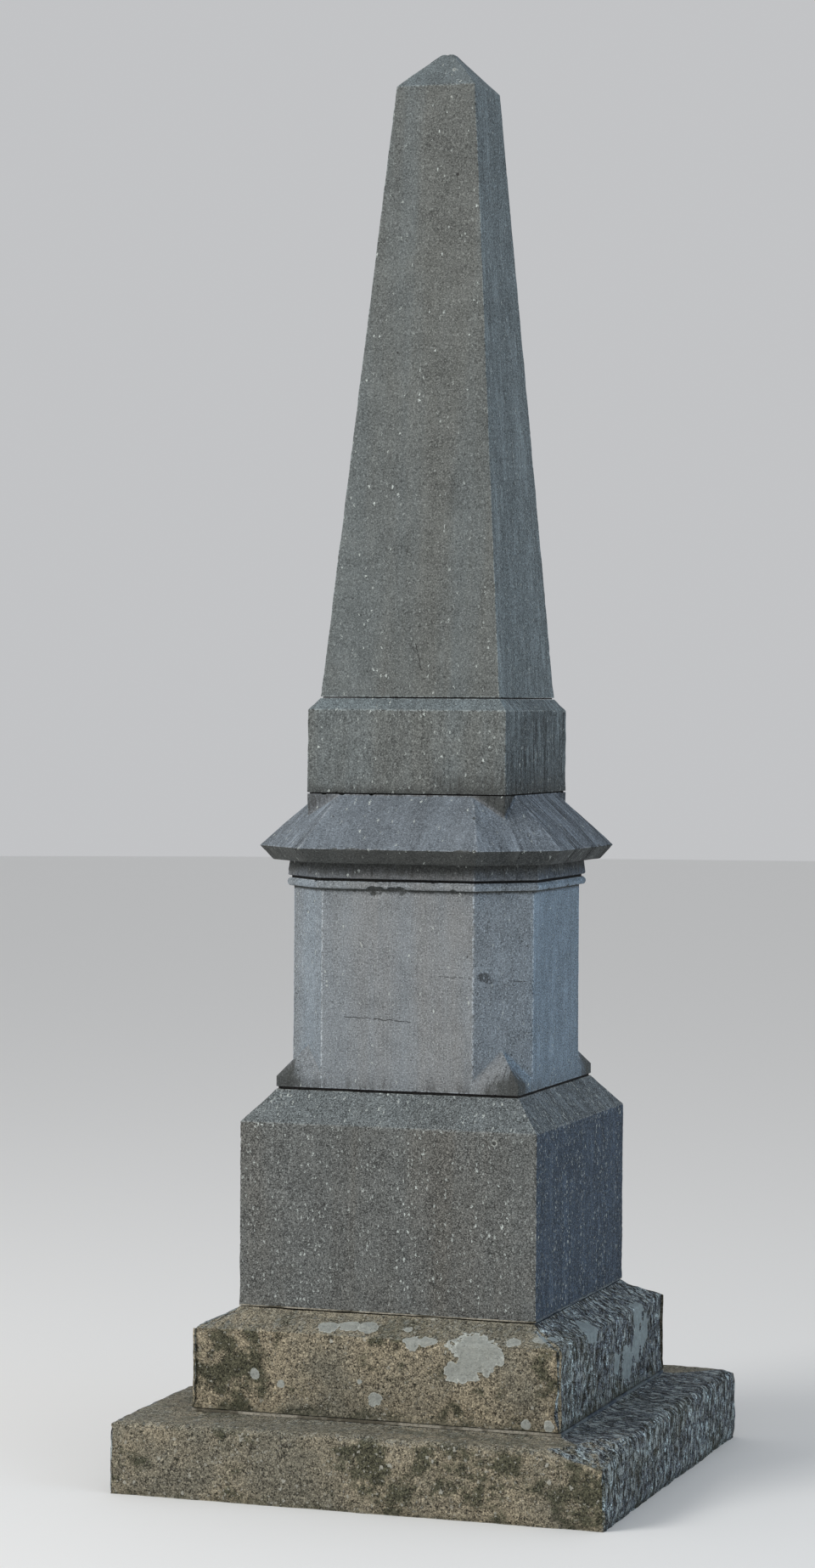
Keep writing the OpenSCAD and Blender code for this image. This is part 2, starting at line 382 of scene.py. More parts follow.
def dressed_stone(name, base, *, streaks, side, flecks, pits, grit=1.0, top_light=0.7, marks=None):
    """Rubbed stone with rain streaks, soiling, painted sky light and shade, fine grain, dark pits and
    small white flecks.

    side is the colour of the right and left faces, painted with the sky light and shade that fall on
    them. streaks, flecks, pits and grit say how strong each is, the one after grit how strong the
    paler, cooler painted sky light on upward faces is, and marks draws the dark and the pale marks of
    this one stone."""
    _, colours, _ = settings()
    f = Finish(name)
    aside = (abs(f.facing_x) - abs(f.facing_y)).rise(-0.35, 0.55)
    upward = f.facing_z.rise(0.25, 0.6)
    bands = f.streaks(9.0, 0.6, 3.0, 1.3)
    broad = f.clouds(5.0, 3.0, 0.5)
    patch = f.clouds(16.0, 5.0, 0.62)
    mottle = f.clouds(80.0, 4.0, 0.7)
    grain = f.clouds(210.0, 2.0, 0.7)
    speck = f.clouds(380.0, 1.0, 0.6)
    fine = f.streaks(130.0, 13.0, 4.0)
    wide = f.streaks(44.0, 3.5, 4.0, 3.7)

    # The stone's own colour in bands and patches, then painted sky light and shade: the side colour on
    # the right and left faces, and a paler, cooler top on upward faces
    f.colour = f.mix(
        bands.rise(0.36, 0.64), tinted(base, 1.03, 0.015), tinted(base, 0.95, -0.045))
    f.lay(broad.rise(0.52, 0.68) * 0.4, tinted(base, 0.8, 0.04))
    f.lay(patch.rise(0.48, 0.72) * 0.25, tinted(base, 0.76))
    f.lay(aside, side)
    f.lay(upward * top_light, tinted(base, 1.22, -0.13))

    # Rain streaks and grain
    rain = (fine - 0.5) * (0.35 + aside * 1.3) + (wide - 0.5) * (0.25 + aside * 1.1)
    rain = rain * patch.rise(0.34, 0.6) * (streaks * 1.4)
    salt = speck.rise(0.6, 0.72) * 0.55
    grains = (mottle - 0.5) * 0.7 + (grain - 0.5) * 1.5 + (speck - 0.5) * 2.6
    cloudy = (patch - 0.5) * 0.85 + (bands - 0.5) * 0.6 + (broad - 0.5) * 0.4
    tone = 1 + rain + (grains + salt) * (grit + aside * 0.4) + cloudy
    f.colour = f.shaded(f.colour, tone.most(0.3))

    # Soiling, and the painted shade that the mesh keeps with it under the cornice's drip, under the
    # die's bead and in chips, then worn pale arrises elsewhere
    soil_and_shade = f.stored("soil_and_shade")
    seep_and_shade = (wide * 0.5 + fine * 0.5).rise(0.5, 0.58) * soil_and_shade.rise(0.08, 0.4)
    f.lay(seep_and_shade * 0.7, colours.soot)
    grime_and_shade = (soil_and_shade + (mottle - 0.5) * 0.8 + (patch - 0.5) * 0.6).rise(0.15, 0.7)
    f.lay(grime_and_shade * soil_and_shade.rise(0.0, 0.12) * 0.9, f.shaded(colours.stain, tone))
    edge = f.stored("arris").rise(3.5 * MM, 0.5 * MM) * (1 - soil_and_shade * 1.5).most(0.0)
    worn = edge * (grain * 0.6 + mottle * 0.5).rise(0.52, 0.62)
    f.lay(worn * 0.75, tinted(base, 2.6, -0.06))

    # Dark pits and white flecks
    pores = f.scattered((150.0, pits, 0.16), (62.0, pits * 0.5, 0.11))
    f.lay(pores * 0.85, tinted(colours.soot, 0.7))
    face = f.laid_flat(
        f.stored("across") + (grain - 0.5) * 0.01, f.z * 0.7 + (speck - 0.5) * 0.01, 5.0)
    white = f.scattered((80.0, flecks * 0.28, 0.13), (130.0, flecks * 0.25, 0.19), at=face)
    white = white.most(f.dots(185.0, flecks * 0.4, 0.2, at=face) * aside)
    rows = f.streaks(24.0, 1.2, 2.0, 9.1).rise(0.42, 0.6)
    white = white * (1 - (1 - rows) * (0.4 + aside * 0.2))
    f.lay(white * 0.95, tinted(colours.lichen, 1.3, -0.03))
    if marks:
        dark, pale = marks(f)
        f.lay(dark * 0.85, tinted(colours.soot, 0.6))
        f.lay(pale * 0.7, tinted(colours.lichen, 1.1))
        pores = pores.most(dark)

    roughness = 0.86 - grain * 0.1 + white * 0.08
    height = grain * 0.7 + speck * 0.4 + mottle * 0.8 + rain * 0.3 - pores * 1.2 + white * 0.4
    return f.close(roughness, height, 1.0 * MM)


def step_stone(name, base, algae_share, side_shade_tone):
    """Coarse pitted stone with algae, crumbs and lichen crusts, and a streaked film on the sides, laid
    over a painted bluish shade.
    """
    _, colours, _ = settings()
    f = Finish(name)
    upward = f.facing_z.rise(0.3, 0.95)
    level = f.facing_z.rise(0.96, 0.99)
    # The film and its painted bluish shade lie on both sides, and on the level tops at the right
    beyond = (f.x - abs(f.y)).rise(-6 * MM, 10 * MM)
    side = (abs(f.facing_x) - abs(f.facing_y)).rise(-0.3, 0.2) * (1 - level) + level * beyond
    broad = f.clouds(4.5, 3.0)
    patch = f.clouds(19.0, 5.0, 0.65)
    lump = f.clouds(70.0, 4.0, 0.7)
    crumb = f.clouds(170.0, 3.0, 0.8)
    grain = f.clouds(330.0, 2.0, 0.7)
    runs = f.streaks(52.0, 12.0, 5.0, 5.1, f.down)
    _, bit, _ = f.cells(115.0, f.ragged)
    _, flake, _ = f.cells(220.0, f.ragged)

    # The stone's own colour, and algae in dark blotches
    f.colour = f.mix(broad.rise(0.38, 0.62), tinted(base, 0.72, -0.02), tinted(base, 1.15, 0.06))
    growth = patch * 0.6 + broad * 0.6 + lump * 0.14 + crumb * 0.1 - 0.22 * (1 - algae_share)
    f.lay(growth.rise(0.585, 0.69) * 0.85, colours.algae)
    f.lay(upward * (0.25 + patch * 0.5), tinted(base, 0.8, -0.05))

    # The scaly film of the sides, on a painted bluish shade colour
    scale = f.streaks(80.0, 42.0, 5.0, 2.2, f.down)
    side_shade = tinted(colours.side_shade, side_shade_tone)
    film = f.mix(scale.rise(0.43, 0.52), tinted(side_shade, 0.12), tinted(side_shade, 1.15))
    film = f.mix(broad.rise(0.5, 0.64) * 0.4, film, colours.algae)
    scab = (scale + (patch - 0.5) * 0.45).rise(0.57, 0.62)
    film = f.mix(scab * 0.9, film, tinted(colours.lichen, 0.66, -0.16))
    film = f.mix(level * 0.55, film, side_shade)
    f.lay(side * 0.93, film)

    # Grain, coarser than on the upper stones
    tone = (lump - 0.5) * 0.7 + (crumb - 0.5) * 2.0 + (grain - 0.5) * 5.0
    tone = tone + (bit - 0.5) * 0.35 + (flake - 0.5) * 0.9 + grain.rise(0.6, 0.72) * 1.2
    f.colour = f.shaded(f.colour, (0.92 + tone * (0.85 + side * 1.5)).most(0.12))

    # Pale dashes and dark holes drawn out down the sides, and pits all over
    shake = (crumb - 0.5) * 0.02
    face = f.laid_flat(f.stored("across") + shake, f.down * 0.4 + shake, 3.0)
    dashes = f.dots(100.0, 0.55, 0.34, at=face).most(f.dots(175.0, 0.6, 0.34, at=face) * 0.8)
    dashes = dashes * (runs + lump * 0.5).rise(0.54, 0.76) * (side + upward * 0.2)
    f.lay(dashes * 0.95, tinted(colours.lichen, 1.0, -0.09))
    holes = f.dots(130.0, 0.5, 0.3, at=face) * runs.rise(0.52, 0.42) * side
    f.lay(holes * 0.9, tinted(colours.side_shade, 0.25))
    pits = f.scattered((90.0, 0.5, 0.17), (160.0, 0.6, 0.2))
    f.lay(pits * 0.9, tinted(colours.algae, 0.4))

    # Damp near the foot, and crumbs of lichen
    soil_and_shade = f.stored("soil_and_shade")
    damp = (soil_and_shade + (patch - 0.5) * 1.2).rise(0.25, 0.8) * soil_and_shade.rise(0.0, 0.2)
    f.lay(damp * 0.7, tinted(colours.algae, 0.9))
    crumbs = f.scattered((58.0, 0.7, 0.19, 0.9), (105.0, 0.8, 0.25))
    crumbs = crumbs * (patch + lump * 0.4).rise(0.5, 0.74)
    crumbs = crumbs.most(f.dots(95.0, 0.9, 0.25) * soil_and_shade.rise(0.3, 0.8)) * (1 - side * 0.55)
    f.lay(crumbs * 0.9, tinted(colours.lichen, 0.85, 0.07))

    # Crusts of lichen with torn pale rims, where the mesh says that they lie
    torn = (f.clouds(27.0, 2.0, 0.5) - 0.5) * 0.9 + (f.clouds(75.0, 2.0, 0.5) - 0.5) * 0.9
    inside = f.stored("crust") + torn
    crust = inside.rise(0.04, 0.08)
    rim = crust * inside.rise(0.2, 0.07)
    crust_colour = f.mix(rim * 0.7, tinted(colours.lichen, 0.74), tinted(colours.lichen, 1.3))
    # Crusts on the sides are painted into the same bluish shade
    crust_colour = f.mix(side * 0.8, crust_colour, tinted(colours.lichen, 0.6, -0.18))
    f.lay(crust * 0.92, f.shaded(crust_colour, 1 + (crumb - 0.5) * 0.8 + (lump - 0.5) * 0.7))
    worn = f.stored("arris").rise(10 * MM, 2 * MM) * lump.rise(0.45, 0.6)
    f.lay(worn * 0.25 * (1 - side), tinted(base, 1.7, 0.01))

    height = lump * 1.3 + crumb * 1.0 + grain * 0.4 - pits * 1.2 + crumbs * 0.5 + crust * 0.4
    return f.close(0.9 - grain * 0.08, height, 2.2 * MM)


def mortar_finish():
    """Dark crumbled mortar with a few pale grains, and lime in the joints of the steps, with painted
    bluish shade where the joints come out on the sides.
    """
    _, colours, _ = settings()
    f = Finish("mortar_finish")
    lump = f.clouds(160.0, 4.0, 0.7)
    grain = f.clouds(600.0, 2.0, 0.7)
    f.colour = f.mix(lump.rise(0.35, 0.7), tinted(colours.mortar, 0.5), tinted(colours.mortar, 1.5))
    f.lay(grain.rise(0.62, 0.75) * 0.5, tinted(colours.mortar, 3.5))
    # On the sides of the steps the mortar and lime take painted bluish shade
    aside = (abs(f.x) - abs(f.y)).rise(0.0, 10 * MM)
    bare = f.clouds(14.0, 3.0).rise(0.38, 0.5) * (0.5 + lump.rise(0.4, 0.5) * 0.5)
    dull = f.mix(aside, tinted(colours.steps, 0.5), tinted(colours.side_shade, 1.2))
    pale = f.mix(aside, colours.lime, tinted(colours.lichen, 0.6, -0.1))
    lime = f.mix(bare * (1 - aside * 0.4), dull, pale)
    in_steps = f.z.rise(0.5, 0.4)
    f.lay(in_steps, f.shaded(lime, 0.3 + grain * 1.4))
    return f.close(0.95 - grain * 0.05, lump + grain * 0.4, 2.5 * MM)


def points_of(mesh):
    """The places of a mesh's points."""
    return np.array([v.co for v in mesh.vertices], float)


def move_points(mesh, points):
    """Puts a mesh's points in new places."""
    mesh.vertices.foreach_set("co", points.astype(np.float32).ravel())
    mesh.update()


def sections(node, ledges=False):
    """Reads a stone as level sections, from the foot up.

    With ledges, one height may hold two sections, one at each end of a level ledge."""
    points = points_of(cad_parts[node].data)
    points = np.unique((points / SAME).round() * SAME, axis=0)
    rows = []
    for height in np.unique(points[:, 2]):
        level = points[points[:, 2] == height][:, :2]
        centre = (level.min(0) + level.max(0)) / 2
        half = abs(level - centre).max(1)
        halves = np.unique((half / SAME).round() * SAME) if ledges else [half.max()]
        if rows and len(halves) > 1:
            last = rows[-1][RIGHT]
            halves = sorted(halves, key=lambda value: abs(value - last))
        for value in halves:
            ring = level[half <= value + SAME]
            rows.append([height, *(ring @ COMPASS.T).max(0)])
    return np.array(rows)


def graded(length, spacing, sharp=(1.6 * MM, 4.2 * MM)):
    """Fractions from 0 to 1 along a line, closer together near its two ends."""
    ends = [0.0, *[d for d in sharp if d < length * 0.3]]
    inner = length - 2 * ends[-1]
    count = max(1, math.ceil(inner / spacing))
    middle = [ends[-1] + inner * i / count for i in range(1, count)]
    places = [*ends, *middle, *[length - d for d in reversed(ends)]]
    return np.array(places) / length


def refined(rows, spacing):
    """Adds rows between the sections of a stone, closer together near each of them."""
    made = [rows[0]]
    for low, high in zip(rows[:-1], rows[1:]):
        slope = math.hypot(high[HEIGHT] - low[HEIGHT], high[RIGHT] - low[RIGHT])
        length = max(abs(high - low).max(), slope)
        if length < 2 * spacing:
            fractions = np.linspace(0, 1, max(2, round(length / (0.5 * spacing)) + 1))
        else:
            fractions = graded(length, spacing)
        made.extend(low + (high - low) * t for t in fractions[1:])
    return np.array(made)


def square_diagonals(rows):
    """How far a square form's diagonals reach, from its reach in the other directions."""
    straight = rows[..., RIGHT::2]
    return (straight + np.roll(straight, -1, axis=-1)) / math.sqrt(2)


def section_corners(rows):
    """The corner between each direction and the next, in every row."""
    reach = rows[:, RIGHT:].copy()
    reach[:, 1::2] = np.minimum(rows[:, DIAGONALS], square_diagonals(rows))
    corners = np.empty((len(rows), 8, 2))
    for k in range(8):
        pair = np.linalg.inv(COMPASS[[k, (k + 1) % 8]])
        corners[:, k] = reach[:, [k, (k + 1) % 8]] @ pair.T
    return corners


def stone_mesh(name, rows, spacing, other_sides=()):
    """A closed mesh through every section, with its level ends closed by one face each.

    other_sides pairs each side that is meshed more coarsely or finely with its own spacing."""
    spacings = np.full(1 + len(COMPASS), spacing)
    for side, own_spacing in other_sides:
        spacings[side] = own_spacing
    rows = refined(rows, spacing)
    corners = section_corners(rows)
    columns = []
    for k in range(8):
        start, end = corners[:, k - 1], corners[:, k]
        length = np.linalg.norm(end - start, axis=1).max()
        if length < SAME:
            continue
        fractions = graded(length, spacings[RIGHT + k])[:-1]
        columns.append(start[:, None] + (end - start)[:, None] * fractions[None, :, None])
    plan = np.concatenate(columns, axis=1)
    count_rows, count_columns = plan.shape[:2]
    heights = np.repeat(rows[:, HEIGHT], count_columns)
    points = np.column_stack([plan.reshape(-1, 2), heights])
    index = np.arange(count_rows * count_columns).reshape(count_rows, count_columns)
    along = np.roll(index, -1, axis=1)
    quads = np.stack([index[:-1], along[:-1], along[1:], index[1:]], axis=-1).reshape(-1, 4)
    mesh = bpy.data.meshes.new(name)
    faces = [*quads.tolist(), index[0][::-1].tolist(), index[-1].tolist()]
    mesh.from_pydata(points.tolist(), [], faces)
    work = bmesh.new()
    work.from_mesh(mesh)
    bmesh.ops.remove_doubles(work, verts=work.verts, dist=SAME)
    work.to_mesh(mesh)
    work.free()
    return mesh


def tree_of(points):
    """A tree that finds the nearest of the points."""
    tree = kdtree.KDTree(len(points))
    for number, point in enumerate(points):
        tree.insert(Vector(point), number)
    tree.balance()
    return tree


def arris_points(node, sharp=math.radians(25), step=2 * MM):
    """Points along every outward arris of a CAD node."""
    work = bmesh.new()
    work.from_mesh(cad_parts[node].data)
    bmesh.ops.remove_doubles(work, verts=work.verts, dist=SAME)
    found = []
    for edge in work.edges:
        if edge.is_manifold and edge.calc_face_angle_signed() > sharp:
            start, end = (v.co.copy() for v in edge.verts)
            count = max(1, round((end - start).length / step))
            found.extend(start.lerp(end, i / count) for i in range(count + 1))
    work.free()
    return np.array(found)


def mortar_nodes(endings=("_bed", "_joint")):
    """The names of the level beds and the upright joints, or of one kind."""
    return [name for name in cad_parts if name.endswith(endings)]


def from_mortar(points, names):
    """How far each point lies from the nearest of the named pieces of mortar."""
    nearest = np.ones(len(points))
    for name in names:
        low, high = np.array(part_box(name))
        gap = np.maximum(np.maximum(low - points, points - high), 0)
        nearest = np.minimum(nearest, np.linalg.norm(gap, axis=1))
    return nearest


def field(points, scale, octaves=3):
    """Noise of about -1 to 1 at the points, with the given number of lumps a metre."""
    return np.array([noise.fractal(Vector(p), 1.0, 2.0, octaves) for p in points * scale], float)


class Carving:
    """A stone's mesh while it is worn: its points, their outward directions and the arrises."""

    # How near to a joint the stone has kept its surface, and the share of the wear left right at it
    SHELTER, LEAST_WEAR = 22 * MM, 0.12
    # How far the patterns of one side lie from those of the next
    APART = 1.7

    def __init__(self, mesh, node, flush=False):
        """With flush, the stone has worn down evenly with the lime of its upright joints."""
        self.mesh = mesh
        self.points = points_of(mesh)
        self.first = self.points.copy()
        self.outward = np.array([v.normal for v in mesh.vertices], float)
        self.arrises = arris_points(node)
        if flush:
            self.arrises = self.arrises[from_mortar(self.arrises, mortar_nodes("_joint")) > 8 * MM]
            self.keep_joints_closed()
        tree = tree_of(self.arrises)
        self.distance = np.array([tree.find(Vector(p))[2] for p in self.points])
        mortar = mortar_nodes("_bed") if flush else mortar_nodes()
        bared = np.clip(from_mortar(self.points, mortar) / self.SHELTER, 0, 1)
        self.exposed = self.LEAST_WEAR + (1 - self.LEAST_WEAR) * bared
        self.broken = np.zeros(len(self.points))
        self.random = np.random.default_rng(settings()[0].seed + len(self.points))

    def keep_joints_closed(self, blend=30 * MM):
        """Turns the points at an upright joint, so that they wear down along it and not across."""
        for low, high in map(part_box, mortar_nodes("_joint")):
            beside = abs(self.points[:, 1] - (low.y + high.y) / 2) < (high.y - low.y) / 2 + SAME
            if not beside.any():
                continue
            self.outward[beside, 1] = 0
            # The foot moves level and the level top straight down
            height = self.points[:, 2]
            self.outward[beside & (height < low.z + SAME), 2] = 0
            self.outward[beside & (height > height.max() - SAME)] = (0, 0, 1)
            length = np.linalg.norm(self.outward, axis=1)
            rim = np.flatnonzero(beside & (length > 0.1))
            self.outward[rim] /= length[rim, None]
            # Points inside the joint follow the nearest point of its rim
            tree = tree_of(self.points[rim])
            for number in np.flatnonzero(beside & (length <= 0.1)):
                _, nearest, away = tree.find(Vector(self.points[number]))
                self.outward[number] = self.outward[rim[nearest]] * max(0.0, 1 - away / blend)

    def sink(self, depth):
        """Moves every point in from the surface by its own depth."""
        self.points -= self.outward * (depth * self.exposed)[:, None]

    def wear(self, reach, depth, lumps=28.0):
        """Rounds the arrises unevenly."""
        uneven = 0.55 + 0.75 * field(self.first, lumps)
        share = np.clip(1 - self.distance / reach, 0, 1) ** 2
        self.sink(np.clip(uneven, 0.15, 1.6) * share * depth)

    def square_up(self, half_at):
        """Moves the chamfer faces out to a square form with the given half width at each height."""
        largest = abs(self.points[:, :2]).max(1)
        self.pushed = np.clip(half_at(self.points[:, 2]) - largest, 0, None)
        self.points[:, :2] += np.sign(self.points[:, :2]) * self.pushed[:, None]
        self.first = self.points.copy()
        move_points(self.mesh, self.points)
        self.outward = np.array([v.normal for v in self.mesh.vertices], float)

    def roughen(self, lumps, depth):
        """Gives the faces a relief that only goes inwards."""
        self.sink((0.5 + 0.5 * np.clip(field(self.first, lumps), -1, 1)) * depth)

    def weather_step(self, edge_share, lumps):
        """Wears a step's edges, then its whole form, and pits its faces."""
        wear, _, _ = settings()
        self.wear(wear.step_reach, wear.step_depth * edge_share)
        self.wear(wear.step_reach * 1.7, wear.step_depth * 1.2, lumps=11.0)
        self.roughen(lumps, 6 * MM)
        self.roughen(lumps * 5, 3 * MM)

    def scoop(self, centre, outward, radius, depth):
        """Breaks a shell-shaped chip out of the stone."""
        middle = np.array(centre) + np.array(outward) * (radius - depth)
        away = self.points - middle
        distance = np.linalg.norm(away, axis=1)
        near = np.flatnonzero(distance < radius * 1.2)
        # The shell's outline wanders by about a tenth
        uneven = radius * (1 + 0.10 * field(self.first[near], 90.0, 2))
        grown = np.maximum(uneven - distance[near], 0)
        moved = away[near] / distance[near][:, None] * grown[:, None]
        inwards = (moved * self.outward[near]).sum(axis=1) < 0
        near, grown, moved = near[inwards], grown[inwards], moved[inwards]
        self.points[near] += moved
        self.broken[near] = np.maximum(self.broken[near], np.clip(grown / (0.6 * depth), 0, 1))

    def chip(self, count, radius, depth, clear=0.0):
        """Breaks small chips out of the arrises at random places, clear of the mortar."""
        tree = tree_of(self.first)
        places = self.arrises[from_mortar(self.arrises, mortar_nodes()) >= clear]
        for _ in range(count):
            place = Vector(places[self.random.integers(len(places))])
            nearest = tree.find(place)[1]
            size = radius * self.random.uniform(0.5, 1.4)
            self.scoop(place, self.outward[nearest], size,
                       min(size * 0.7, depth * self.random.uniform(0.4, 1.3)))

    def nick(self, place, outward, radius):
        """Breaks a piece out at a known place."""
        self.scoop(place, Vector(outward).normalized(), radius, radius * 0.35)

    def nick_edge(self, front, right, reach, height, lean):
        """Breaks known pieces out of a level edge that stands out as far as reach.

        front and right say how far along its face each lies, and its radius, in millimetres."""
        for along, radius in front:
            self.nick((along * MM, -reach, height), (0, -1, lean), radius * MM)
        for along, radius in right:
            self.nick((reach, along * MM, height), (1, 0, lean), radius * MM)

    def damp(self, climb):
        """The damp that has climbed so high: 1 at the stone's foot, 0 from there up."""
        height = self.first[:, 2]
        return np.clip(1 - (height - height.min()) / climb, 0, 1)

    def store(self, name, values, domain="POINT"):
        """Keeps a value on the mesh, for the finish to read."""
        layer = self.mesh.attributes.new(name, "FLOAT", domain)
        layer.data.foreach_set("value", np.asarray(values, np.float32))

    def finish(self, soil_and_shade=None, crust=None, floor=None):
        """Writes the worn points back, with what the finishes read from the mesh."""
        self.points = np.clip(self.points, self.first.min(0), self.first.max(0))
        if floor is not None:
            self.points[self.first[:, 2] < floor + SAME, 2] = floor
        move_points(self.mesh, self.points)
        self.store("arris", np.minimum(self.distance, 60 * MM))
        self.store("soil_and_shade", np.zeros(len(self.points)) if soil_and_shade is None else soil_and_shade)
        self.store("crust", np.full(len(self.points), -1.0) if crust is None else crust)
        across = np.empty(len(self.mesh.loops), np.float32)
        for face in self.mesh.polygons:
            # A level face belongs to the side that it lies at
            if face.normal.z > LEVEL:
                turn = 2 * round(math.atan2(face.center.y, face.center.x) / (math.pi / 2)) % 8
            else:
                turn = round(math.atan2(face.normal.y, face.normal.x) / (math.pi / 4)) % 8
            along = COMPASS[(turn + 2) % 8]
            for loop in face.loop_indices:
                point = self.first[self.mesh.loops[loop].vertex_index]
                across[loop] = point[0] * along[0] + point[1] * along[1] + self.APART * turn
        self.store("across", across, "CORNER")
        self.mesh.shade_smooth()
        self.mesh.set_sharp_from_angle(angle=math.radians(38))


def placed(name, data):
    """A new object in the scene."""
    made = bpy.data.objects.new(name, data)
    bpy.context.scene.collection.objects.link(made)
    return made


def set_stone(mesh, node, material):
    """Puts a finished stone in the place of its CAD node."""
    stone = placed(mesh.name, mesh)
    mesh.materials.append(material)
    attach(stone, BODY)
    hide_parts(node)


class OBELISK_OT_shaft(Operator):
    """Build the worn tapered shaft with its blunt cap"""

    bl_idname = "obelisk.shaft"
    bl_label = "Shaft"

    # Losses up the front right arris: height and radius, in millimetres
    LOSSES = ((2238, 8), (2202, 10))

    def execute(self, context):
        wear, colours, _ = settings()
        rows = sections("shaft")
        mesh = stone_mesh("worn_shaft", rows, wear.spacing * 1.1)
        carving = Carving(mesh, "shaft")
        carving.wear(wear.arris_reach, wear.arris_depth)
        carving.roughen(9.0, 1.2 * MM)
        carving.chip(130, 6 * MM, 2.2 * MM)
        for height, radius in self.LOSSES:
            right = np.interp(height * MM, rows[:, HEIGHT], rows[:, RIGHT])
            front = np.interp(height * MM, rows[:, HEIGHT], rows[:, FRONT])
            carving.nick((right, -front, height * MM), (1, -1, 0), radius * MM)
        carving.finish()
        # Painted sky light: the side faces are lighter and cooler than the front
        material = dressed_stone(
            "shaft_stone_finish", colours.shaft, streaks=0.9, flecks=0.25, pits=0.1,
            side=tinted(colours.shaft, 1.12, -0.11), grit=0.75, marks=self.marks)
        set_stone(mesh, "shaft", material)
        return {"FINISHED"}

    @staticmethod
    def marks(f):
        """The fine cracks, the black pit and the pale scratches of the front."""
        dark = f.crack((0.009, 1.670), (0.024, 1.611), 10 * MM)
        dark = dark.most(f.crack((-0.036, 1.834), (-0.033, 1.780), 8 * MM) * 0.6)
        dark = dark.most(f.spot(0.065, 2.603, 3 * MM))
        pale = f.spot(0.039, 2.820, 4 * MM).most(f.spot(0.047, 2.760, 3 * MM))
        return dark, pale * f.clouds(260.0, 2.0).rise(0.4, 0.55)


class OBELISK_OT_neck_block(Operator):
    """Build the square neck block with its bevelled top"""

    bl_idname = "obelisk.neck_block"
    bl_label = "Neck block"

    def execute(self, context):
        wear, colours, _ = settings()
        mesh = stone_mesh("worn_neck_block", sections("neck_block"), wear.spacing * 0.9)
        carving = Carving(mesh, "neck_block")
        carving.wear(wear.arris_reach, wear.arris_depth)
        carving.roughen(9.0, 1.0 * MM)
        carving.chip(70, 6 * MM, 2.0 * MM)
        # The damp has climbed higher towards the front right
        climb = np.where(carving.first @ (1, -0.3, 0) > 110 * MM, 105 * MM, 45 * MM)
        carving.finish(soil_and_shade=carving.damp(climb) ** 2 * 0.6)
        # Painted shade: the side faces are darker and cooler than the front
        material = dressed_stone(
            "neck_stone_finish", colours.shaft, streaks=2.0, flecks=0.4, pits=0.15,
            side=tinted(colours.shaft, 0.72, -0.12), grit=0.85)
        set_stone(mesh, "neck_block", material)
        return {"FINISHED"}


class OBELISK_OT_cornice(Operator):
    """Build the mitred cornice with its chipped drip"""

    bl_idname = "obelisk.cornice"
    bl_label = "Cornice"

    # Losses along the drip: how far along each face, and the radius, in millimetres
    FRONT_LOSSES = (
        (-110, 10), (-84, 9), (-73, 12), (-62, 8), (150, 11), (163, 9), (178, 10), (199, 11), (222, 10))
    RIGHT_LOSSES = ((-60, 9), (35, 11), (62, 9), (88, 12), (120, 10), (147, 11), (165, 9))

    def execute(self, context):
        wear, colours, _ = settings()
        rows = sections("cornice", ledges=True)
        neck_half = rows[-1, RIGHT]
        reach = rows[:, RIGHT].max()
        drip = rows[rows[:, RIGHT].argmax(), HEIGHT]
        # The square upstand's corners cross the slope at levels of their own, which are left out
        eight_sided = rows[(rows[:, RIGHT] > neck_half + SAME) | (rows[:, HEIGHT] < drip)]
        roof_top = rows[rows[:, RIGHT] > neck_half - SAME][-2]
        upstand_top = roof_top.copy()
        upstand_top[HEIGHT] = rows[-1, HEIGHT]
        rows = np.vstack([eight_sided, roof_top, upstand_top])
        mesh = stone_mesh("worn_cornice", rows, wear.spacing * 0.8)
        carving = Carving(mesh, "cornice")
        carving.square_up(lambda height: np.where(height > drip, neck_half, 0))
        carving.wear(wear.arris_reach * 0.6, wear.arris_depth * 0.8)
        carving.roughen(12.0, 0.9 * MM)
        carving.chip(110, 7 * MM, 2.6 * MM)
        carving.nick_edge(self.FRONT_LOSSES, self.RIGHT_LOSSES, reach, drip, lean=0.3)
        # Painted shade under the drip: the undercut is dark all over, and the band below it only
        # towards its top
        height = carving.first[:, 2]
        band_foot = rows[0, HEIGHT]
        band_top = rows[rows[:, HEIGHT] < drip][-1, HEIGHT]
        up_the_band = (height - band_foot) / (band_top - band_foot)
        under = np.where(height < band_top, 0.2 + 0.8 * up_the_band, 1) * (height < drip - SAME)
        # The corner at the front right is the one that holds its stain
        held = 0.35 + 0.5 * (carving.first @ (1, -1, 0) > reach)
        stain = np.clip(carving.pushed / (12 * MM), 0, 1) * held
        # Painted shade in the chips and under the drip, with the corner's stain
        carving.finish(soil_and_shade=np.maximum.reduce([under * 0.8, stain, carving.broken * 0.7]))
        # Painted bluish shade on the side faces
        material = dressed_stone(
            "cornice_stone_finish", colours.cornice, streaks=2.0, flecks=0.3, pits=0.2,
            side=tinted(colours.side_shade, 1.3, 0.04), grit=0.65)
        set_stone(mesh, "cornice", material)
        return {"FINISHED"}


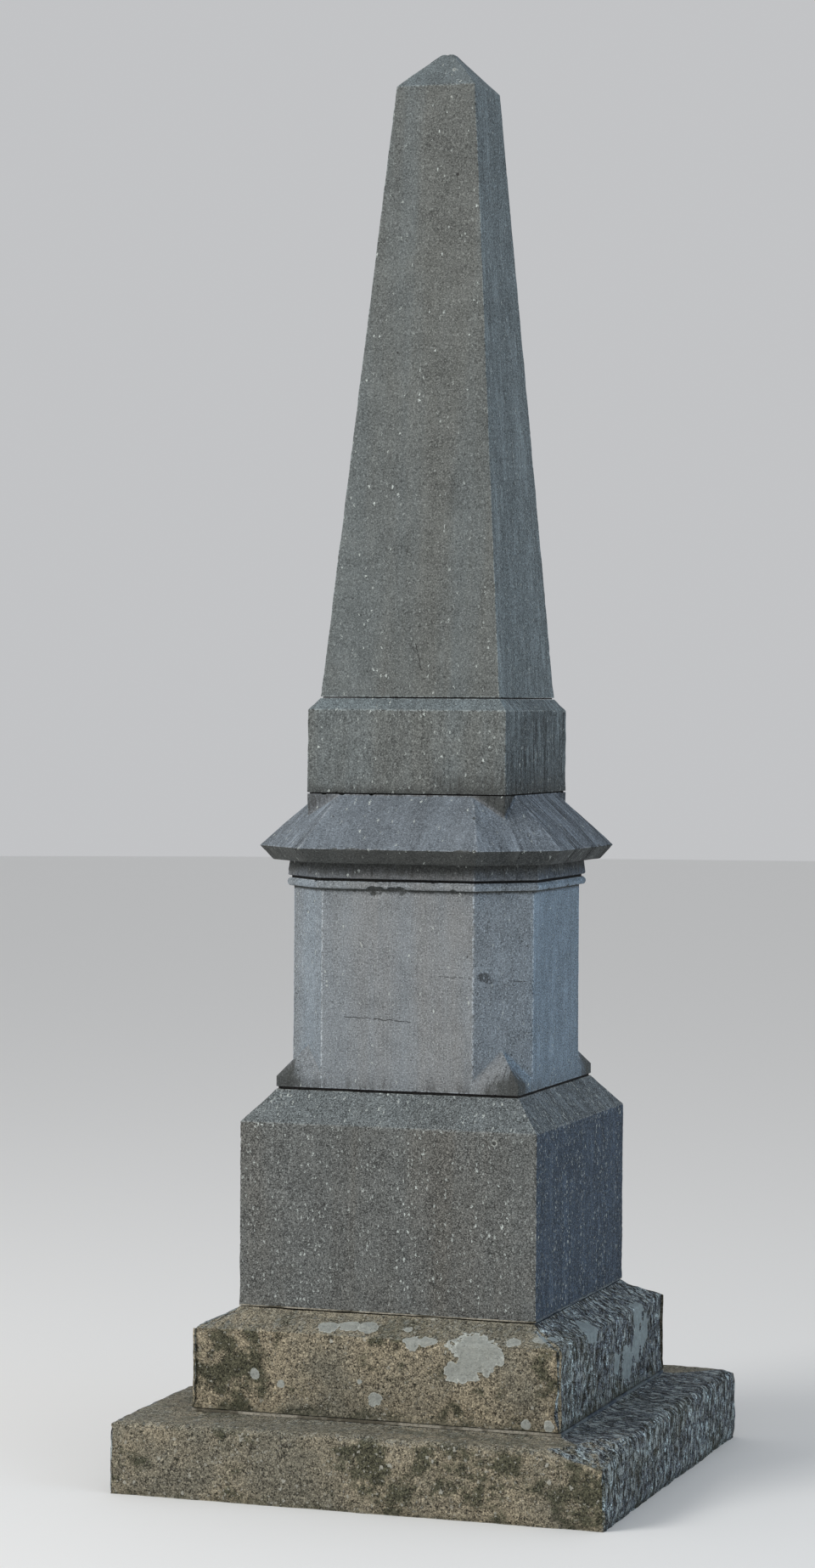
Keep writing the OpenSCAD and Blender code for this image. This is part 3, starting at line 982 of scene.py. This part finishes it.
class OBELISK_OT_die(Operator):
    """Build the eight-sided die with its broach stops and chipped bead"""

    bl_idname = "obelisk.die"
    bl_label = "Die"

    # Scallops out of the bead's lower edge: how far along each face, and the radius, in millimetres
    FRONT_LOSSES = ((-50, 17), (-36, 16), (-8, 15), (8, 18), (118, 9))
    RIGHT_LOSSES = ((-90, 9), (40, 12), (100, 8))

    def execute(self, context):
        wear, colours, _ = settings()
        rows = sections("die", ledges=True)
        half = rows[0, RIGHT]
        body = rows[rows[:, RIGHT] > half - SAME]
        # The section at the stops' tops, and the last one below it
        apex = rows[rows[:, RIGHT] < half - SAME][0]
        foot = body[body[:, HEIGHT] < apex[HEIGHT]][-1]
        # The chamfers are meshed right down to the foot, and the stops then pushed out of them
        body[:, DIAGONALS] = np.where(
            body[:, [HEIGHT]] < apex[HEIGHT], apex[DIAGONALS], body[:, DIAGONALS])
        chamfers = [(side, wear.spacing * 0.7) for side in DIAGONALS]
        mesh = stone_mesh("worn_die", body, wear.spacing, chamfers)
        carving = Carving(mesh, "die")
        levels, halves = (foot[HEIGHT], apex[HEIGHT]), (half, apex[RIGHT])
        carving.square_up(lambda height: np.where(
            height < apex[HEIGHT], np.interp(height, levels, halves), 0))
        carving.wear(wear.arris_reach * 0.6, wear.arris_depth * 0.7)
        carving.roughen(8.0, 0.9 * MM)
        carving.chip(60, 6 * MM, 1.6 * MM)
        bead = rows[rows[:, HEIGHT] > apex[HEIGHT]][1]
        carving.nick_edge(self.FRONT_LOSSES, self.RIGHT_LOSSES, bead[RIGHT], bead[HEIGHT], lean=-1.7)
        # A painted shadow in a thin line right under the bead and in its chipped scallops, and dirt on
        # the stops and at the foot
        below = bead[HEIGHT] - carving.first[:, 2]
        shade_under_bead = np.clip(1 - below / (7 * MM), 0, 1) * (below > -SAME)
        damp = carving.damp(90 * MM)
        stops = np.clip(carving.pushed / (32 * MM), 0.3 * (carving.pushed > MM), 1)
        stops = stops * np.minimum(0.15 + damp, 1)
        carving.finish(soil_and_shade=np.maximum.reduce(
            [shade_under_bead, damp ** 1.5 * 0.3, stops * 0.75, carving.broken * (below < 9 * MM)]))
        # Painted bluish sky reflection and shade on the side faces, and no painted top light
        material = dressed_stone(
            "die_stone_finish", colours.die, streaks=0.45, flecks=0.25, pits=0.35, grit=0.7,
            side=tinted(colours.die, 0.98, -0.2), top_light=0.0, marks=self.marks)
        set_stone(mesh, "die", material)
        return {"FINISHED"}

    @staticmethod
    def marks(f):
        """Cracks, pits at the front right chamfer, a smudge, tool marks and a pale scratch."""
        low = f.crack((-0.112, 0.9285), (0.033, 0.922), 10 * MM)
        high = f.crack((0.085, 1.013), (0.158, 1.012), 9 * MM) * 0.85
        high = high.most(f.crack((0.212, 1.004), (0.244, 1.003), 6 * MM) * 0.8)
        at_chamfer = f.x.rise(0.09, 0.17) * (f.y - f.x).rise(-0.28, -0.34)
        pitted = f.scattered((125.0, 0.95, 0.2), (70.0, 0.6, 0.13)) * at_chamfer
        pitted = pitted * f.clouds(24.0, 3.0).rise(0.46, 0.6) * 0.7
        smudge = f.spot(0.174, 1.013, 9 * MM).most(f.spot(0.183, 1.005, 6 * MM))
        smudge = smudge * f.clouds(150.0, 3.0, 0.7).rise(0.46, 0.5)
        scratch = f.crack((-0.077, 1.079), (-0.073, 1.064), 3 * MM, 1.6 * MM)
        # Tool marks 9 mm apart
        turn = (f.x + f.clouds(12.0, 1.0) * 6 * MM) * (2 * math.pi / (9 * MM))
        tooled = f.spot(0.03, 0.93, 110 * MM) * f.clouds(30.0, 2.0).rise(0.4, 0.6)
        ribs = turn.sine().rise(-0.2, 1.0) * tooled * 0.16
        return low.most(high).most(pitted).most(smudge * 0.8).most(ribs), scratch


class OBELISK_OT_plinth(Operator):
    """Build the square plinth, with its bare front face"""

    bl_idname = "obelisk.plinth"
    bl_label = "Plinth"

    def execute(self, context):
        wear, colours, _ = settings()
        mesh = stone_mesh("worn_plinth", sections("plinth"), wear.spacing)
        carving = Carving(mesh, "plinth")
        carving.wear(wear.arris_reach, wear.arris_depth)
        carving.roughen(7.0, 1.2 * MM)
        carving.chip(320, 5 * MM, 2.2 * MM)
        carving.finish()
        # Painted bluish shade on the side faces
        material = dressed_stone(
            "plinth_stone_finish", colours.plinth, streaks=1.1, flecks=1.0, pits=0.15,
            side=tinted(colours.side_shade, 0.83, -0.1), grit=1.3, marks=self.marks)
        set_stone(mesh, "plinth", material)
        return {"FINISHED"}

    @staticmethod
    def marks(f):
        """The filled hole near the top right of the front, dark inside a pale ring."""
        hole, ring = f.spot(0.221, 0.697, 4 * MM), f.spot(0.221, 0.697, 6 * MM)
        return hole * 0.7, ring * (1 - hole) * f.clouds(110.0).rise(0.42, 0.54)


# Crusts of lichen on the upper step: where each lies and its radius, in millimetres
CRUSTS = [
    ((-103, -355, 330), 21), ((-60, -345, 334), 22), ((-20, -345, 334), 20), ((78, -378, 316), 20),
    ((105, -380, 322), 20), ((205, -386, 305), 52), ((190, -384, 270), 32), ((235, -384, 300), 30),
    ((165, -384, 262), 24), ((280, -365, 325), 17), ((60, -345, 334), 10), ((384, 100, 215), 38),
    ((384, 170, 240), 34), ((390, 185, 300), 40), ((384, 30, 225), 22), ((375, -140, 322), 36),
    ((384, 230, 260), 36), ((-246, -384, 230), 12), ((-192, -384, 214), 9), ((2, -384, 196), 15),
    ((-384, -80, 230), 34), ((-384, 120, 280), 40), ((-120, 384, 260), 38), ((140, 384, 300), 30),
    ((-27, -384, 230), 6), ((312, -384, 170), 11), ((357, -384, 168), 13), ((331, -350, 330), 14),
    ((350, -325, 333), 13), ((405, -200, 300), 12),
]


def crust_field(points):
    """How deep each point lies inside the nearest crust, as a share of that crust's radius."""
    depth = [1 - np.linalg.norm(points - np.array(at) * MM, axis=1) / (radius * MM)
             for at, radius in CRUSTS]
    return np.clip(np.max(depth, axis=0), -1, 1)


class OBELISK_OT_upper_step(Operator):
    """Build the worn upper step with its sloped top"""

    bl_idname = "obelisk.upper_step"
    bl_label = "Upper step"

    def execute(self, context):
        wear, colours, _ = settings()
        mesh = stone_mesh("worn_upper_step", sections("upper_step"), wear.spacing)
        carving = Carving(mesh, "upper_step")
        carving.weather_step(1.0, 9.0)
        carving.chip(120, 16 * MM, 5 * MM, clear=18 * MM)
        carving.finish(soil_and_shade=carving.damp(40 * MM) * 0.7, crust=crust_field(carving.first))
        material = step_stone("upper_step_finish", colours.steps, 0.25, 0.95)
        set_stone(mesh, "upper_step", material)
        return {"FINISHED"}


class OBELISK_OT_lower_step(Operator):
    """Build the three worn slabs of the lower step, with the broken front right corner"""

    bl_idname = "obelisk.lower_step"
    bl_label = "Lower step"

    # The slabs, and their sides at the upright joints
    SLABS = {"lower_step_front": [BACK], "lower_step_middle": [BACK, FRONT],
             "lower_step_back": [FRONT]}

    def execute(self, context):
        wear, colours, _ = settings()
        material = step_stone("lower_step_finish", colours.steps, 0.48, 0.75)
        for node, joint_sides in self.SLABS.items():
            # A joint side is hidden, so its mesh is coarser
            hidden = [(side, wear.spacing * 2.5) for side in joint_sides]
            mesh = stone_mesh("worn_" + node, self.slab_rows(node), wear.spacing, hidden)
            carving = Carving(mesh, node, flush=True)
            if node == "lower_step_front":
                self.break_corner(carving)
            carving.weather_step(0.7, 8.0)
            carving.chip(50, 16 * MM, 5 * MM, clear=18 * MM)
            carving.finish(soil_and_shade=carving.damp(45 * MM) * 0.5, floor=0.0)
            set_stone(mesh, node, material)
        return {"FINISHED"}

    @staticmethod
    def slab_rows(node):
        """The slab's sections, and one more on its level top where the upper step covers it."""
        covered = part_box("upper_step")[1].x - 15 * MM
        # The front slab is the back one mirrored
        rows = sections("lower_step_back" if node == "lower_step_front" else node)
        # Levels inside the rounded corners don't reach the joint side
        rows = rows[abs(rows[:, FRONT] - rows[0, FRONT]) < SAME]
        inner = rows[-1].copy()
        inner[RIGHT:] = np.minimum(inner[RIGHT:], covered)
        inner[DIAGONALS] = square_diagonals(inner)
        rows = np.vstack([rows, inner])
        if node == "lower_step_front":
            rows = np.hstack([rows[:, :2], rows[:, :1:-1]])
        return rows

    @staticmethod
    def break_corner(carving, along=130 * MM, side=205 * MM, down=38 * MM):
        """Breaks the front right corner off on a rough sloping face.

        along, side and down say how far from the corner it cuts the three edges."""
        low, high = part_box("lower_step_front")
        corner = np.array([high.x, low.y, high.z])
        across = np.array([1 / along, -1 / side, 1 / down])
        across /= np.linalg.norm(across)
        # How far each point stands out past that face
        over = (carving.points - corner) @ across + along * across[0]
        rough = 1.5 * MM + 2.5 * MM * field(carving.first, 26.0)
        carving.points -= np.clip(over + rough * (over > -4 * MM), 0, None)[:, None] * across


class OBELISK_OT_mortar(Operator):
    """Give the mortar in the joints its finish"""

    bl_idname = "obelisk.mortar"
    bl_label = "Mortar"

    def execute(self, context):
        wear, _, _ = settings()
        material = mortar_finish()
        for name in mortar_nodes():
            if name.endswith("_joint"):
                set_stone(self.worn_down(name, wear), name, material)
            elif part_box(name)[0].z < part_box("plinth")[0].z:
                set_stone(self.smeared(name, wear), name, material)
            else:
                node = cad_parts[name]
                node.data.materials.clear()
                node.data.materials.append(material)
        return {"FINISHED"}

    @staticmethod
    def pushed_out(mesh, fill):
        """Moves the mortar's faces out towards the stones' faces, by one distance or by many."""
        points = points_of(mesh)
        middle = (points.min(0) + points.max(0)) / 2
        long_way = abs(points - middle).max(0) > 50 * MM
        points += np.sign(points - middle) * long_way * fill
        points[:, 2] = np.maximum(points[:, 2], 0)
        move_points(mesh, points)

    def smeared(self, name, wear, fill=4.4 * MM):
        """The lime of a low bed, smeared out to the faces of the stones in uneven stretches."""
        mesh = stone_mesh("smeared_" + name, sections(name), wear.spacing)
        points = points_of(mesh)
        share = np.clip(0.9 + 0.7 * field(points, 14.0) + 0.2 * field(points, 70.0), 0, 1)
        self.pushed_out(mesh, (share * fill)[:, None])
        return mesh

    def worn_down(self, name, wear, fill=4.5 * MM, hidden=9 * MM):
        """The lime of an upright joint, flush with the slabs on both sides and worn with them."""
        rows = sections(name)
        rows = rows[abs(rows[:, BACK] - rows[0, BACK]) < SAME]
        mesh = stone_mesh("smeared_" + name, rows, wear.spacing, [(BACK, hidden), (FRONT, hidden)])
        work = bmesh.new()
        work.from_mesh(mesh)
        level = [face for face in work.faces if len(face.verts) > 4]
        bmesh.ops.triangulate(work, faces=level, ngon_method="BEAUTY")
        work.to_mesh(mesh)
        work.free()
        self.pushed_out(mesh, fill)
        carving = Carving(mesh, "lower_step_middle", flush=True)
        carving.weather_step(0.7, 8.0)
        carving.finish(floor=0.0)
        return mesh


class OBELISK_OT_stage(Operator):
    """Set up the pale floor, the soft lights and the camera"""

    bl_idname = "obelisk.stage"
    bl_label = "Studio"

    def execute(self, context):
        _, _, studio = settings()
        scene = context.scene
        scene.view_settings.view_transform = "Standard"
        self.floor(studio)
        self.sky(scene, studio)
        self.lamp("key", studio.key_power, (-4.2, -5.0, 5.2), size=3.2, colour=(1.0, 0.98, 0.95))
        self.lamp("fill", studio.fill_power, (5.5, -1.5, 3.0), size=3.0, colour=(0.5, 0.75, 1.0))
        self.camera(scene, studio)
        return {"FINISHED"}

    @staticmethod
    def floor(studio, radius=30.0):
        """A wide round floor, level with the foot of the monument."""
        mesh = bpy.data.meshes.new("floor")
        work = bmesh.new()
        bmesh.ops.create_circle(work, cap_ends=True, segments=96, radius=radius)
        work.to_mesh(mesh)
        work.free()
        finish = Finish("floor_finish")
        shine = finish.node(
            "BsdfPrincipled",
            sockets={"Base Color": (*studio.floor, 1.0), "Roughness": 0.9,
                     "Specular IOR Level": 0.1})
        finish.node("OutputMaterial", sockets={"Surface": shine})
        mesh.materials.append(finish.material)
        placed("floor", mesh)

    @staticmethod
    def sky(scene, studio):
        """Plain pale light from all round."""
        world = bpy.data.worlds.new("studio")
        scene.world = world
        world.use_nodes = True
        background = world.node_tree.nodes["Background"]
        background.inputs["Color"].default_value = (*studio.sky, 1.0)
        background.inputs["Strength"].default_value = studio.sky_strength

    @staticmethod
    def lamp(name, power, place, size, colour, target=(0.0, 0.0, 1.2)):
        """A large soft square light, turned to the monument."""
        light = bpy.data.lights.new(name, "AREA")
        light.energy = power
        light.size = size
        light.color = colour
        lamp = placed(name, light)
        lamp.location = place
        aim = Vector(target) - Vector(place)
        lamp.rotation_mode = "QUATERNION"
        lamp.rotation_quaternion = aim.to_track_quat("-Z", "Y")

    @staticmethod
    def camera(scene, studio):
        """Stands the camera where the photograph was taken from."""
        data = bpy.data.cameras.new("camera")
        data.lens = studio.lens
        data.sensor_width = 36.0
        camera = placed("camera", data)
        ahead = Vector((
            -math.sin(studio.turn) * math.cos(studio.tilt),
            math.cos(studio.turn) * math.cos(studio.tilt),
            -math.sin(studio.tilt)))
        right = ahead.cross(Vector((0, 0, 1))).normalized()
        up = right.cross(ahead)
        level = Matrix((right, up, -ahead)).transposed().to_4x4()
        camera.matrix_world = Matrix.Translation(studio.eye) @ level @ Matrix.Rotation(
            studio.roll, 4, "Z")
        scene.camera = camera


class OBELISK_PT_panel(Panel):
    """Lists the obelisk's pieces and settings"""

    bl_idname = "OBELISK_PT_panel"
    bl_label = "Stone obelisk"
    bl_space_type = "VIEW_3D"
    bl_region_type = "UI"
    bl_category = "Obelisk"

    def draw(self, context):
        for group in settings():
            box = self.layout.box()
            box.label(text=group.__doc__)
            for name in group.__annotations__:
                box.prop(group, name)
        for operator in OPERATORS:
            self.layout.operator(operator.bl_idname)


GROUPS = {"obelisk_wear": StoneWear, "obelisk_colours": StoneColours, "obelisk_studio": Studio}
OPERATORS = (
    OBELISK_OT_lower_step, OBELISK_OT_upper_step, OBELISK_OT_plinth, OBELISK_OT_die,
    OBELISK_OT_cornice, OBELISK_OT_neck_block, OBELISK_OT_shaft, OBELISK_OT_mortar,
    OBELISK_OT_stage,
)


def register():
    for group in GROUPS.values():
        bpy.utils.register_class(group)
    for name, group in GROUPS.items():
        setattr(bpy.types.Scene, name, PointerProperty(type=group))
    for operator in OPERATORS:
        bpy.utils.register_class(operator)
    bpy.utils.register_class(OBELISK_PT_panel)


def unregister():
    bpy.utils.unregister_class(OBELISK_PT_panel)
    for operator in reversed(OPERATORS):
        bpy.utils.unregister_class(operator)
    for name in GROUPS:
        delattr(bpy.types.Scene, name)
    for group in GROUPS.values():
        bpy.utils.unregister_class(group)


def main():
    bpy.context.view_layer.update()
    register()
    for operator in OPERATORS:
        group, name = operator.bl_idname.split(".")
        getattr(getattr(bpy.ops, group), name)()


if __name__ == "__main__":
    main()
